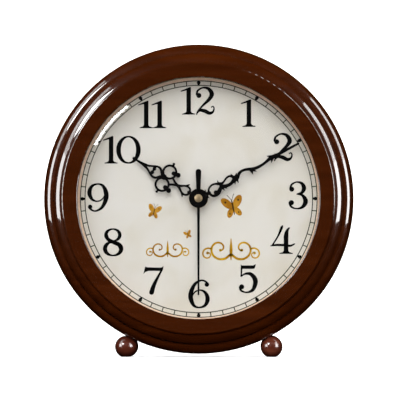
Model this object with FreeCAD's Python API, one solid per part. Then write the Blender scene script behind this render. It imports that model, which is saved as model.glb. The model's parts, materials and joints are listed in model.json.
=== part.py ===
import FreeCAD, Part
import math
import os

# A round mantel clock with a turned wood case on four ball feet and a quartz movement.
# Millimetres. +Z is up, the dial faces -Y, the origin is on the shelf under the middle of the case.
# "d" is the depth behind the front of the case; x and z are measured from the hand axis.

# Case
CASE_R = 110.0
CASE_DEPTH = 50.0
FRONT_Y = -CASE_DEPTH / 2
JOINT_D = 22.0
EDGE_BREAK = 0.5
LIP_R = 85.3
LIP_D = 4.5
LIP_FRONT_D = 0.6
LIP_ROUND = 0.9
GLASS_BORE_R = 89.8
BOARD_SEAT_D = 16.0
BOARD_RECESS_R = 94.0
BAND_R = 96.5
BAND_ROUND = 1.2
OVOLO_IN_CREST = (96.7, 1.6)
OVOLO_IN_SLOPES = (10.0, 50.0)
OVOLO_IN_RADIUS = 10.0
OVOLO_OUT_CREST_R = 103.0
OVOLO_OUT_RADIUS = CASE_R - OVOLO_OUT_CREST_R
OVOLO_OUT_FOOT_D = 14.0
GROOVE = 0.5
BACK_ROUND = 1.2
ROUND_MID = 1 - math.sqrt(0.5)
DRUM_BORE_R = 90.0
PANEL_R = 98.0
PANEL_D = 46.6
PANEL_T = 3.0
PANEL_GAP = 0.2
PANEL_EDGE = 0.6
ACCESS_R = 42.0

# Ball feet
FOOT_R = 7.8
FOOT_FLAT = 0.6
FOOT_ANGLE = 26.2
FOOT_DISTANCE = 117.0
FOOT_FRONT_D = 17.6
FOOT_REAR_D = 40.0
FOOT_DOWEL_R = 2.5
FOOT_DOWEL_L = 17.0
FOOT_DOWEL_BELOW = 3.5
AXIS_Z = FOOT_DISTANCE * math.cos(math.radians(FOOT_ANGLE)) + FOOT_R - FOOT_FLAT

# Glass, spacer, dial
GLASS_R = 89.5
GLASS_BEVEL_IN_R = 81.0
GLASS_LIP_GAP = 0.3
GLASS_T = 2.0
GLASS_APEX_D = 2.1
GLASS_RISE = 1.2
GLASS_HOLLOW_R = 85.0
GLASS_HOLLOW_RISE = 2.0
DIAL_D = 15.6
DIAL_T = 0.4
DIAL_R = 89.5
BOARD_R = 93.6
BOARD_T = 3.0
SPACER_IN_R = 86.9

# Screws and dowels
CASE_DOWEL_R = 3.0
CASE_DOWEL_PITCH_R = 100.0
CASE_DOWEL_D = (15.0, 29.0)
BACK_SCREW_PITCH_R = 94.0
BACK_SCREW_HEAD_R = 2.9
BACK_SCREW_R = 1.4
BACK_SCREW_L = 9.0
BOARD_SCREW_PITCH_R = 91.8
BOARD_SCREW_HEAD_R = 2.0
BOARD_SCREW_HEAD_T = 1.4
BOARD_SCREW_R = 1.1
BOARD_SCREW_TIP_D = 11.0
SLOT_W = 0.7
SLOT_DEPTH = 0.6

# Cutting tools run this far past a face, or back to this depth when they go right through
OVER = 1.0
CUT_END_D = 60.0

# Movement case: a square box hung on its threaded bushing
GASKET_T = 0.8
GASKET_HALF = 22.0
GASKET_CORNER = 4.0
M = BOARD_SEAT_D + BOARD_T + GASKET_T
HALF = 28.0
CORNER_R = 3.0
WALL = 1.2
FLOOR = 1.4
BAY_FLOOR = 0.8
PLATE = (M + 5.8, M + 6.8)
BACK_WALL = (M + 14.6, M + 16.0)
BAY_WALL_Z = (-12.0, -10.8)
BAY_WALL_END = 25.6
BAY_NOTCH = 2.0
SCREW_POSTS = ((-23.2, 23.2), (23.2, 23.2), (-23.2, -5.0), (23.2, -5.0))
POST_R = 2.0
BOSS_R = 1.5
PAD_R = 1.2
STATOR_PADS = ((-17.0, 12.0), (15.0, 12.0))
CIRCUIT_PADS = ((-15.0, -6.0), (11.0, -6.0))
SCREW_R = 0.8
SCREW_HEAD_R = 1.7
SCREW_TIP_D = M + 2.0
SCREW_HEAD_D = M + 15.2
SCREW_HOLE_D = M + 0.6
FLANGE_SEAT_D = M + 0.8

# Layers of the gear train, as depth ranges
HOUR_LAYER = (M + 1.8, M + 2.8)
SETTING_LAYER = (M + 3.2, M + 4.2)
MINUTE_LAYER = (M + 4.6, M + 5.4)
THIRD_LAYER = (M + 7.2, M + 8.0)
SECOND_LAYER = (M + 8.4, M + 9.2)
STEP_LAYER = (M + 9.6, M + 10.4)
MAGNET_LAYER = (M + 10.8, M + 12.6)
STATOR_LAYER = (M + 11.2, M + 12.0)
PIVOT_BOSS = (M + 12.9, M + 14.6)
PIVOT_END = M + 14.0
PIVOT_HOLE_END = M + 14.2
FRONT_PIVOT_D = M + 0.7
PLATE_PIVOT_D = PLATE[0] + 0.1
PIVOT_SLACK = 0.1

# Gears: tooth numbers and modules
SECOND_PINION_TEETH = 8
THIRD_WHEEL_TEETH = 60
SECOND_THIRD_MODULE = 0.2647
THIRD_PINION_TEETH = 8
MINUTE_WHEEL_TEETH = 64
THIRD_MINUTE_MODULE = 0.25
CANNON_TEETH = 12
REVERSE_WHEEL_TEETH = 36
SETTING_TEETH = 18
CANNON_MODULE = 0.5
REVERSE_PINION_TEETH = 10
HOUR_WHEEL_TEETH = 40
HOUR_MODULE = 0.48
SECOND_WHEEL_TEETH = 50
STEP_PINION_TEETH = 10
SECOND_STEP_MODULE = 0.25
STEP_WHEEL_TEETH = 60
ROTOR_PINION_TEETH = 10
ROTOR_MODULE = 0.21
PRESSURE_ANGLE = math.radians(25.0)
WHEEL_ADDENDUM = 0.6
PINION_ADDENDUM = 0.75
DEDENDUM = 1.05
TOOTH_THINNING = 0.1
PINION_LIMIT = 30
FLANK_POINT = 0.2

# Arbor positions: directions of the lines of centres
THIRD_DIRECTION = 20.0
REVERSE_DIRECTION = 60.0
SETTING_DIRECTION = 0.0
STEP_DIRECTION = 150.0
ROTOR_DIRECTION = 135.0

# Arbors and pipes
SECOND_ARBOR_R = 0.6
PIPE_REACH = 0.1
MINUTE_PIPE_R = 1.6
MINUTE_PIPE_BORE = 0.75
HOUR_PIPE_R = 2.55
HOUR_PIPE_BORE = 1.75
BUSHING_R = 4.0
BUSHING_BORE = 2.75
BUSHING_FRONT_D = 13.0
BUSHING_FLANGE_R = 6.0
THREAD_DEPTH = 0.25
THREAD_PITCH = 0.75
THREAD_RINGS = 8
WASHER_R = 6.6
WASHER_T = 0.4
NUT_FLATS = 11.0
NUT_T = 1.8
NUT_CONE = (0.7, 1.1)
SETTING_ARBOR_R = 1.0
SETTING_ARBOR_GAP = 0.2
SETTING_ARBOR_END = M + 20.0
KNOB_R = 6.5
KNOB_D = (M + 16.6, M + 22.0)
KNOB_CHAMFER = 0.5
KNOB_GRIPS = 18
KNOB_GRIP_R = 0.8
KNOB_GRIP_OUT = 0.35
FINE_ARBOR_R = 0.5
STEP_ARBOR_R = 0.4
ROTOR_ARBOR_R = 0.3
MAGNET_R = 3.0
MAGNET_BORE = 0.9
MAGNET_GAP = 0.4
SECOND_HUB_R = 1.4
SECOND_HUB_T = 0.3
THIRD_HOLES = 5
THIRD_HOLE_R = 1.6
THIRD_HOLE_PITCH_R = 4.6
RUNNING_GAP = 0.05

# Hands: angles clockwise from 12 and depths of the plates
HOUR_ANGLE = 301.9
MINUTE_ANGLE = 61.3
SECOND_ANGLE = 180.0
HOUR_PLATE = (12.0, 12.5)
MINUTE_PLATE = (10.8, 11.3)
SECOND_PLATE = (9.7, 10.1)
HAND_BOSS_R = 5.4
SECOND_TIP_U = 68.0
SECOND_TAIL_U = -18.8
SECOND_TAIL_R = 2.0
HUB_DISC_R = 6.75
HUB_DISC = (9.6, 10.2)
HUB_RIVET_R = 1.3
HUB_RIVET_T = 0.3
CAP_R = 2.85
CAP_FRONT_D = 8.3
CAP_RISE = 0.6
CAP_DIMPLE_R = 0.75
CAP_DIMPLE_T = 0.35
SECOND_ARBOR_REACH = 0.6

# Collets: neck radius and flange radius; the flange lies behind the hand
HOUR_COLLET = (3.0, 3.8)
MINUTE_COLLET = (2.2, 2.9)
COLLET_FLANGE_T = 0.4

# Thorns of the minute hand, each from a root to a tip as (distance from the hub, clockwise side)
MINUTE_THORNS = (
    ((5.6, 0.1), (7.2, -3.6)), ((5.6, 0.1), (7.0, 3.9)), ((17.2, -1.4), (17.9, -5.0)),
    ((18.0, 0.2), (19.2, 4.3)), ((19.2, 0.8), (21.6, 3.9)), ((28.8, -1.0), (28.3, -4.7)),
    ((28.9, 0.6), (27.4, 4.1)), ((30.6, -0.6), (32.4, -3.2)), ((30.2, 0.8), (30.3, 4.3)),
    ((42.4, 0.4), (42.0, 4.0)), ((43.4, 0.6), (45.4, 3.2)), ((59.6, -1.0), (56.6, -3.3)),
    ((59.6, 0.0), (57.2, 2.9)), ((60.6, -0.4), (63.4, -1.9)))
MINUTE_THORN_W = 2.6

# Coil, board, cell
COIL_X = (-14.0, 12.0)
COIL_Z = 20.0
COIL_D = M + 11.6
COIL_CORE_R = 1.9
COIL_R = 2.7
FLANGE_R = 2.95
FLANGE_T = 0.8
CORE_HEIGHT = 3.0
CORE_END_GAP = 0.6
CORE_OUTLINE = ((-19.0, 4.9), (-5.6, 4.9), (-5.6, 10.0), (17.0, 10.0), (17.0, 21.5), (-19.0, 21.5))
CORE_WINDOW_Z = 14.0
BOARD_EDGE = (-18.0, 14.0, -10.0, -2.2)
CIRCUIT_LAYER = (M + 12.4, M + 13.2)
CHIP_AT = (-7.0, -6.0)
CHIP_DOME_R = 4.0
CHIP_RISE = 1.2
CRYSTAL_R = 1.0
CRYSTAL_X = (2.0, 8.0)
CRYSTAL_Z = -5.0
CELL_R = 7.1
CELL_Z = -19.2
CELL_D = M + 8.0
CELL_X = (-24.2, 25.1)
NUB_R = 2.7
NUB_END = 26.3
CELL_EDGE = 0.5
STRIP_T = 0.3
STRIP_D = M + 11.0
STRIP_LAP = 2.0
CONTACT_D = M + 4.0
CONTACT_Z = (-25.0, -9.2)
LEAF_HALF = 5.0
LEAF_LAP = 0.9
LEAF_DEPTH = 8.0
CLIP_Z = (-20.0, -18.0)


def vec(x, y, z):
    return FreeCAD.Vector(x, y, z)


def at(x, d, z):
    return vec(x, FRONT_Y + d, AXIS_Z + z)


def polar(radius, degrees):
    """Offset from the hand axis; degrees run counter-clockwise from the right, seen from the front."""
    angle = math.radians(degrees)
    return radius * math.cos(angle), radius * math.sin(angle)


def disc(radius, d0, d1, x=0.0, z=0.0):
    return Part.makeCylinder(radius, d1 - d0, at(x, d0, z), vec(0, 1, 0))


def tube(outer, inner, d0, d1, x=0.0, z=0.0):
    return disc(outer, d0, d1, x, z).cut(disc(inner, d0 - OVER, d1 + OVER, x, z))


def block(x0, x1, z0, z1, d0, d1):
    return Part.makeBox(x1 - x0, d1 - d0, z1 - z0, at(x0, d0, z0))


def rounded_block(half, corner, d0, d1):
    box = block(-half, half, -half, half, d0, d1)
    upright = [e for e in box.Edges if abs(e.tangentAt(e.FirstParameter).y) > 0.9]
    return box.makeFillet(corner, upright)


def fuse(shapes):
    whole = shapes[0].multiFuse(shapes[1:])
    return whole.removeSplitter()


def drill(shape, holes):
    for radius, d0, d1, x, z in holes:
        shape = shape.cut(disc(radius, d0, d1, x, z))
    return shape


def turned(start, steps):
    """A solid of revolution about the hand axis. Steps are (r, d) corners or (mid r, mid d, r, d) arcs."""
    edges = []
    last = start
    for step in steps + [start]:
        end = step[-2:]
        a = at(last[0], last[1], 0)
        b = at(end[0], end[1], 0)
        if len(step) == 4:
            edges.append(Part.Arc(a, at(step[0], step[1], 0), b).toShape())
        else:
            edges.append(Part.makeLine(a, b))
        last = end
    face = Part.Face(Part.Wire(edges))
    return face.revolve(at(0, 0, 0), vec(0, 1, 0), 360)


def around(count, radius, first=0.0):
    return [polar(radius, first + 360.0 * k / count) for k in range(count)]


# ---------------------------------------------------------------- case

BOARD_SCREWS_AT = around(6, BOARD_SCREW_PITCH_R, 30)
BACK_SCREWS_AT = around(4, BACK_SCREW_PITCH_R, 45)


def case_dowels(radius):
    return [disc(radius, CASE_DOWEL_D[0], CASE_DOWEL_D[1], x, z)
            for x, z in around(4, CASE_DOWEL_PITCH_R, 45)]


def foot_centre(side, depth):
    offset = FOOT_DISTANCE * math.sin(math.radians(FOOT_ANGLE))
    return vec(side * offset, FRONT_Y + depth, FOOT_R - FOOT_FLAT)


def foot_dowel(side, depth):
    """A dowel screw on the line from the ball centre to the case axis."""
    centre = foot_centre(side, depth)
    inward = (vec(0, centre.y, AXIS_Z) - centre).normalize()
    return Part.makeCylinder(FOOT_DOWEL_R, FOOT_DOWEL_L, centre - inward * FOOT_DOWEL_BELOW, inward)


def ovolo(crest, radius, slopes):
    """Middle and end of a convex moulding; slopes are its normals in degrees from the front."""
    first, last = (math.radians(slope) for slope in slopes)
    points = [(crest[0] + radius * (math.sin(a) - math.sin(first)),
               crest[1] + radius * (math.cos(first) - math.cos(a))) for a in ((first + last) / 2, last)]
    return points[0] + points[1]


def front_bezel():
    inner = ovolo(OVOLO_IN_CREST, OVOLO_IN_RADIUS, OVOLO_IN_SLOPES)
    outer_crest = (OVOLO_OUT_CREST_R, OVOLO_OUT_FOOT_D - OVOLO_OUT_RADIUS)
    lip_mid = ROUND_MID * LIP_ROUND
    shape = turned((LIP_R, LIP_D), [
        (LIP_R, LIP_FRONT_D + LIP_ROUND),
        (LIP_R + lip_mid, LIP_FRONT_D + lip_mid, LIP_R + LIP_ROUND, LIP_FRONT_D),
        (BAND_R - BAND_ROUND, 0.0), ovolo((BAND_R - BAND_ROUND, 0.0), BAND_ROUND, (0.0, 90.0)),
        (BAND_R, OVOLO_IN_CREST[1] + GROOVE), (OVOLO_IN_CREST[0], OVOLO_IN_CREST[1] + GROOVE),
        OVOLO_IN_CREST, inner,
        (inner[2], outer_crest[1] + GROOVE), (OVOLO_OUT_CREST_R, outer_crest[1] + GROOVE),
        outer_crest, ovolo(outer_crest, OVOLO_OUT_RADIUS, (0.0, 90.0)),
        (CASE_R, JOINT_D - EDGE_BREAK), (CASE_R - EDGE_BREAK, JOINT_D),
        (BOARD_RECESS_R, JOINT_D), (BOARD_RECESS_R, BOARD_SEAT_D),
        (GLASS_BORE_R, BOARD_SEAT_D), (GLASS_BORE_R, LIP_D)])
    shape = shape.cut(Part.Compound(case_dowels(CASE_DOWEL_R)))
    shape = shape.cut(Part.Compound([foot_dowel(s, FOOT_FRONT_D) for s in (-1, 1)]))
    return drill(shape, [(BOARD_SCREW_R, BOARD_SCREW_TIP_D, CUT_END_D, x, z) for x, z in BOARD_SCREWS_AT])


def case_drum():
    back_mid = ROUND_MID * BACK_ROUND
    shape = turned((DRUM_BORE_R, JOINT_D), [
        (CASE_R - EDGE_BREAK, JOINT_D), (CASE_R, JOINT_D + EDGE_BREAK), (CASE_R, CASE_DEPTH - BACK_ROUND),
        (CASE_R - back_mid, CASE_DEPTH - back_mid, CASE_R - BACK_ROUND, CASE_DEPTH),
        (PANEL_R + PANEL_GAP, CASE_DEPTH), (PANEL_R + PANEL_GAP, PANEL_D), (DRUM_BORE_R, PANEL_D)])
    shape = shape.cut(Part.Compound(case_dowels(CASE_DOWEL_R)))
    shape = shape.cut(Part.Compound([foot_dowel(s, FOOT_REAR_D) for s in (-1, 1)]))
    return drill(shape, [(BACK_SCREW_R, PANEL_D - BACK_SCREW_L, CUT_END_D, x, z) for x, z in BACK_SCREWS_AT])


def foot_dowels():
    return Part.Compound([foot_dowel(s, d) for s in (-1, 1) for d in (FOOT_FRONT_D, FOOT_REAR_D)])


def foot(side, depth):
    ball = Part.makeSphere(FOOT_R, foot_centre(side, depth))
    ball = ball.cut(Part.makeBox(2 * CASE_R, CASE_DEPTH, FOOT_R, vec(-CASE_R, -CASE_DEPTH / 2, -FOOT_R)))
    ball = ball.cut(disc(CASE_R, 0, CASE_DEPTH))
    return ball.cut(foot_dowel(side, depth))


def back_screw(x, z):
    head_front = PANEL_D + PANEL_T - (BACK_SCREW_HEAD_R - BACK_SCREW_R)
    cone = Part.makeCone(BACK_SCREW_R, BACK_SCREW_HEAD_R, BACK_SCREW_HEAD_R - BACK_SCREW_R,
                         at(x, head_front, z), vec(0, 1, 0))
    return cone.fuse(disc(BACK_SCREW_R, PANEL_D - BACK_SCREW_L, head_front, x, z))


def slotted(screw, x, z, radius, d_top):
    """Cuts the screwdriver slot into a screw head that faces the back."""
    half = SLOT_W / 2
    return screw.cut(block(x - radius, x + radius, z - half, z + half, d_top - SLOT_DEPTH, d_top + OVER))


def back_panel():
    back = PANEL_D + PANEL_T
    shape = turned((ACCESS_R, PANEL_D), [
        (PANEL_R, PANEL_D), (PANEL_R, back - PANEL_EDGE), (PANEL_R - PANEL_EDGE, back),
        (ACCESS_R + PANEL_EDGE, back), (ACCESS_R, back - PANEL_EDGE)])
    for x, z in BACK_SCREWS_AT:
        shape = shape.cut(back_screw(x, z))
    return shape


def back_screws():
    return Part.Compound([slotted(back_screw(x, z), x, z, BACK_SCREW_HEAD_R + OVER, PANEL_D + PANEL_T)
                          for x, z in BACK_SCREWS_AT])


def dome_depth(half_width, rise, r):
    """How far a dome of the given half width and rise has fallen at radius r."""
    ball = (half_width ** 2 + rise ** 2) / (2 * rise)
    return ball - math.sqrt(ball ** 2 - r ** 2)


def glass_lens():
    """Domed glass with a bevelled edge, seated behind the lip."""
    front, back = GLASS_BEVEL_IN_R, GLASS_HOLLOW_R
    apex = GLASS_APEX_D
    hollow = LIP_D + GLASS_T - GLASS_HOLLOW_RISE
    return turned((0.0, apex), [
        (front / 2, apex + dome_depth(front, GLASS_RISE, front / 2), front, apex + GLASS_RISE),
        (LIP_R - GLASS_LIP_GAP, LIP_D), (GLASS_R, LIP_D), (GLASS_R, LIP_D + GLASS_T), (back, LIP_D + GLASS_T),
        (back / 2, hollow + dome_depth(back, GLASS_HOLLOW_RISE, back / 2), 0.0, hollow)])


def dial_board():
    shape = disc(BOARD_R, BOARD_SEAT_D, BOARD_SEAT_D + BOARD_T)
    holes = [(BOARD_SCREW_R, 0, CUT_END_D, x, z) for x, z in BOARD_SCREWS_AT]
    return drill(shape, holes + [(BUSHING_R, 0, CUT_END_D, 0, 0)])


def board_screws():
    head = (BOARD_SEAT_D + BOARD_T, BOARD_SEAT_D + BOARD_T + BOARD_SCREW_HEAD_T)
    screws = []
    for x, z in BOARD_SCREWS_AT:
        shank = disc(BOARD_SCREW_R, BOARD_SCREW_TIP_D, head[0], x, z)
        screw = shank.fuse(disc(BOARD_SCREW_HEAD_R, *head, x, z))
        screws.append(slotted(screw, x, z, BOARD_SCREW_HEAD_R + OVER, head[1]))
    return Part.Compound(screws)


def rubber_gasket():
    sheet = rounded_block(GASKET_HALF, GASKET_CORNER, M - GASKET_T, M)
    return sheet.cut(disc(BUSHING_R, 0, CUT_END_D))


# ---------------------------------------------------------------- gears

def involute(angle):
    return math.tan(angle) - angle


def half_tooth(teeth, module, radius):
    """Half the angular thickness of a tooth at a radius, in radians."""
    pitch_r = teeth * module / 2
    base_r = pitch_r * math.cos(PRESSURE_ANGLE)
    at_pitch = math.pi / (2 * teeth) - TOOTH_THINNING * module / pitch_r
    slope = math.acos(base_r / max(radius, base_r))
    return at_pitch + involute(PRESSURE_ANGLE) - involute(slope)


def gear(teeth, module, layer, x, z, phase, bore=None):
    """A spur gear; phase is the direction of one tooth in degrees."""
    pitch_r = teeth * module / 2
    pinion = teeth < PINION_LIMIT
    addendum = PINION_ADDENDUM if pinion else WHEEL_ADDENDUM
    radii = [pitch_r - DEDENDUM * module, pitch_r + addendum * module]
    if pinion:
        radii[1:1] = [pitch_r * math.cos(PRESSURE_ANGLE), pitch_r + FLANK_POINT * module]
    points = []
    for k in range(teeth):
        middle = math.radians(phase) + 2 * math.pi * k / teeth
        flank = [(r, half_tooth(teeth, module, r)) for r in radii]
        for r, half in [(r, -h) for r, h in flank] + flank[::-1]:
            points.append(at(x + r * math.cos(middle + half), layer[0], z + r * math.sin(middle + half)))
    face = Part.Face(Part.makePolygon(points + points[:1]))
    solid = face.extrude(vec(0, layer[1] - layer[0], 0))
    if bore:
        solid = solid.cut(disc(bore, 0, CUT_END_D, x, z))
    return solid


def mating_phase(teeth, phase, direction, mate_teeth):
    """Phase of a gear lying in the given direction so that its gap meets the first gear's tooth."""
    share = (direction - phase) * teeth / 360.0
    return direction + 180.0 - (0.5 - share) * 360.0 / mate_teeth


def offset(start, teeth, mate_teeth, module, direction):
    dx, dz = polar((teeth + mate_teeth) * module / 2, direction)
    return start[0] + dx, start[1] + dz


CENTRE = (0.0, 0.0)
THIRD_AT = offset(CENTRE, SECOND_PINION_TEETH, THIRD_WHEEL_TEETH, SECOND_THIRD_MODULE, THIRD_DIRECTION)
REVERSE_AT = offset(CENTRE, CANNON_TEETH, REVERSE_WHEEL_TEETH, CANNON_MODULE, REVERSE_DIRECTION)
SETTING_AT = offset(REVERSE_AT, REVERSE_WHEEL_TEETH, SETTING_TEETH, CANNON_MODULE, SETTING_DIRECTION)
STEP_AT = offset(CENTRE, SECOND_WHEEL_TEETH, STEP_PINION_TEETH, SECOND_STEP_MODULE, STEP_DIRECTION)
ROTOR_AT = offset(STEP_AT, STEP_WHEEL_TEETH, ROTOR_PINION_TEETH, ROTOR_MODULE, ROTOR_DIRECTION)


def second_wheel():
    pinion = gear(SECOND_PINION_TEETH, SECOND_THIRD_MODULE, (THIRD_LAYER[0], SECOND_LAYER[0]), 0, 0, 0)
    wheel = gear(SECOND_WHEEL_TEETH, SECOND_STEP_MODULE, SECOND_LAYER, 0, 0, 0)
    hub = disc(SECOND_HUB_R, SECOND_LAYER[1], SECOND_LAYER[1] + SECOND_HUB_T)
    return fuse([pinion, wheel, hub]).cut(disc(SECOND_ARBOR_R, 0, CUT_END_D))


def second_arbor():
    return disc(SECOND_ARBOR_R, HUB_DISC[0] - SECOND_ARBOR_REACH, PIVOT_END)


def third_wheel():
    phase = mating_phase(SECOND_PINION_TEETH, 0, THIRD_DIRECTION, THIRD_WHEEL_TEETH)
    wheel = gear(THIRD_WHEEL_TEETH, SECOND_THIRD_MODULE, THIRD_LAYER, *THIRD_AT, phase)
    for x, z in around(THIRD_HOLES, THIRD_HOLE_PITCH_R):
        wheel = wheel.cut(disc(THIRD_HOLE_R, 0, CUT_END_D, THIRD_AT[0] + x, THIRD_AT[1] + z))
    return wheel.cut(disc(FINE_ARBOR_R, 0, CUT_END_D, *THIRD_AT))


def third_arbor():
    """Steel arbor with the pinion pressed on in front of the middle plate."""
    pinion = gear(THIRD_PINION_TEETH, THIRD_MINUTE_MODULE, MINUTE_LAYER, *THIRD_AT, 0)
    return fuse([pinion, disc(FINE_ARBOR_R, MINUTE_LAYER[0] - PIVOT_SLACK, PIVOT_END, *THIRD_AT)])


def minute_wheel():
    phase = mating_phase(THIRD_PINION_TEETH, 0, THIRD_DIRECTION + 180, MINUTE_WHEEL_TEETH)
    return gear(MINUTE_WHEEL_TEETH, THIRD_MINUTE_MODULE, MINUTE_LAYER, 0, 0, phase, MINUTE_PIPE_R)


def minute_arbor():
    """The minute pipe with its cannon pinion."""
    pipe = disc(MINUTE_PIPE_R, MINUTE_PLATE[0] - 2 * PIPE_REACH, MINUTE_LAYER[1])
    pinion = gear(CANNON_TEETH, CANNON_MODULE, SETTING_LAYER, 0, 0, 0)
    return fuse([pipe, pinion]).cut(disc(MINUTE_PIPE_BORE, 0, CUT_END_D))


def reverse_wheel():
    wheel_phase = mating_phase(CANNON_TEETH, 0, REVERSE_DIRECTION, REVERSE_WHEEL_TEETH)
    wheel = gear(REVERSE_WHEEL_TEETH, CANNON_MODULE, SETTING_LAYER, *REVERSE_AT, wheel_phase)
    pinion = gear(REVERSE_PINION_TEETH, HOUR_MODULE, (HOUR_LAYER[0], SETTING_LAYER[0]), *REVERSE_AT, 0)
    return fuse([wheel, pinion, disc(FINE_ARBOR_R, FRONT_PIVOT_D, PLATE[1], *REVERSE_AT)])


def hour_wheel():
    """The hour wheel with the pipe that carries the hour hand."""
    phase = mating_phase(REVERSE_PINION_TEETH, 0, REVERSE_DIRECTION + 180, HOUR_WHEEL_TEETH)
    wheel = gear(HOUR_WHEEL_TEETH, HOUR_MODULE, HOUR_LAYER, 0, 0, phase)
    pipe = disc(HOUR_PIPE_R, HOUR_PLATE[0] - PIPE_REACH, HOUR_LAYER[1])
    return fuse([wheel, pipe]).cut(disc(HOUR_PIPE_BORE, 0, CUT_END_D))


def setting_arbor():
    wheel_phase = mating_phase(CANNON_TEETH, 0, REVERSE_DIRECTION, REVERSE_WHEEL_TEETH)
    phase = mating_phase(REVERSE_WHEEL_TEETH, wheel_phase, SETTING_DIRECTION, SETTING_TEETH)
    pinion = gear(SETTING_TEETH, CANNON_MODULE, SETTING_LAYER, *SETTING_AT, phase)
    return fuse([pinion, disc(SETTING_ARBOR_R, FRONT_PIVOT_D, SETTING_ARBOR_END, *SETTING_AT)])


def set_knob():
    knob = disc(KNOB_R, *KNOB_D, *SETTING_AT)
    knob = knob.makeChamfer(KNOB_CHAMFER, [e for e in knob.Edges if e.Curve.TypeId == "Part::GeomCircle"])
    for x, z in around(KNOB_GRIPS, KNOB_R + KNOB_GRIP_OUT):
        knob = knob.cut(disc(KNOB_GRIP_R, 0, CUT_END_D, SETTING_AT[0] + x, SETTING_AT[1] + z))
    return knob.cut(disc(SETTING_ARBOR_R, 0, SETTING_ARBOR_END, *SETTING_AT))


def intermediate_wheel():
    phase = mating_phase(SECOND_WHEEL_TEETH, 0, STEP_DIRECTION, STEP_PINION_TEETH)
    layer = (SECOND_LAYER[0], STEP_LAYER[0])
    pinion = gear(STEP_PINION_TEETH, SECOND_STEP_MODULE, layer, *STEP_AT, phase)
    wheel = gear(STEP_WHEEL_TEETH, ROTOR_MODULE, STEP_LAYER, *STEP_AT, 0)
    return fuse([pinion, wheel, disc(STEP_ARBOR_R, PLATE_PIVOT_D, PIVOT_END, *STEP_AT)])


def rotor_pinion():
    phase = mating_phase(STEP_WHEEL_TEETH, 0, ROTOR_DIRECTION, ROTOR_PINION_TEETH)
    pinion = gear(ROTOR_PINION_TEETH, ROTOR_MODULE, STEP_LAYER, *ROTOR_AT, phase)
    return fuse([pinion, disc(MAGNET_BORE, STEP_LAYER[1], MAGNET_LAYER[1], *ROTOR_AT),
                 disc(ROTOR_ARBOR_R, PLATE_PIVOT_D, PIVOT_END, *ROTOR_AT)])


# ---------------------------------------------------------------- movement case

def pivot_holes(d0, d1, places):
    return [(radius + RUNNING_GAP, d0, d1, x, z) for radius, (x, z) in places]


def hollowed(shell, d0, d1, bay_d0, bay_d1):
    """Cuts the train chamber, the cell bay and the two gaps for the contacts out of a case half."""
    inner = HALF - WALL
    shell = shell.cut(block(-inner, inner, BAY_WALL_Z[1], inner, d0, d1))
    shell = shell.cut(block(-inner, inner, -inner, BAY_WALL_Z[0], bay_d0, bay_d1))
    for side in (-1, 1):
        x0, x1 = sorted((side * BAY_WALL_END, side * inner))
        shell = shell.cut(block(x0, x1, BAY_WALL_Z[0] - OVER, BAY_WALL_Z[1] + OVER, d0, d1))
    return shell


def movement_front_shell():
    back = PLATE[0] + OVER
    shell = hollowed(rounded_block(HALF, CORNER_R, M, PLATE[0]), M + FLOOR, back, M + BAY_FLOOR, back)
    shell = fuse([shell] + [disc(POST_R, M + FLOOR, PLATE[0], x, z) for x, z in SCREW_POSTS])
    shell = drill(shell, [(SCREW_R, SCREW_HOLE_D, back, x, z) for x, z in SCREW_POSTS])
    places = [(FINE_ARBOR_R, REVERSE_AT), (SETTING_ARBOR_R, SETTING_AT)]
    shell = drill(shell, pivot_holes(SCREW_HOLE_D, back, places))
    return drill(shell, [(BUSHING_R, 0, back, 0, 0), (BUSHING_FLANGE_R, FLANGE_SEAT_D, back, 0, 0)])


def movement_middle_plate():
    plate = block(-HALF + WALL, HALF - WALL, BAY_WALL_Z[1], HALF - WALL, *PLATE)
    for side in (-1, 1):
        x0, x1 = sorted((side * BAY_WALL_END, side * HALF))
        plate = plate.cut(block(x0, x1, BAY_WALL_Z[1], BAY_WALL_Z[1] + BAY_NOTCH, M, CUT_END_D))
    plate = drill(plate, [(SCREW_R, M, CUT_END_D, x, z) for x, z in SCREW_POSTS])
    places = [(SECOND_ARBOR_R, CENTRE), (FINE_ARBOR_R, THIRD_AT), (FINE_ARBOR_R, REVERSE_AT),
              (SETTING_ARBOR_R, SETTING_AT), (STEP_ARBOR_R, STEP_AT), (ROTOR_ARBOR_R, ROTOR_AT)]
    return drill(plate, pivot_holes(M, CUT_END_D, places))


def movement_rear_shell():
    front = PLATE[0] - OVER
    box = rounded_block(HALF, CORNER_R, PLATE[0], BACK_WALL[1])
    shell = hollowed(box, front, BACK_WALL[0], front, CUT_END_D)
    pivots = [(SECOND_ARBOR_R, CENTRE), (FINE_ARBOR_R, THIRD_AT), (STEP_ARBOR_R, STEP_AT),
              (ROTOR_ARBOR_R, ROTOR_AT)]
    posts = [disc(POST_R, PLATE[1], BACK_WALL[0], x, z) for x, z in SCREW_POSTS]
    posts += [disc(BOSS_R, *PIVOT_BOSS, *place) for radius, place in pivots]
    posts += [disc(PAD_R, STATOR_LAYER[1], BACK_WALL[0], x, z) for x, z in STATOR_PADS]
    posts += [disc(PAD_R, CIRCUIT_LAYER[1], BACK_WALL[0], x, z) for x, z in CIRCUIT_PADS]
    shell = fuse([shell] + posts)
    shell = drill(shell, [(SCREW_R, front, CUT_END_D, x, z) for x, z in SCREW_POSTS])
    shell = drill(shell, [(SCREW_HEAD_R, SCREW_HEAD_D, CUT_END_D, x, z) for x, z in SCREW_POSTS])
    shell = drill(shell, pivot_holes(front, PIVOT_HOLE_END, pivots))
    return drill(shell, [(SETTING_ARBOR_R + SETTING_ARBOR_GAP, front, CUT_END_D, *SETTING_AT)])


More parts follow.
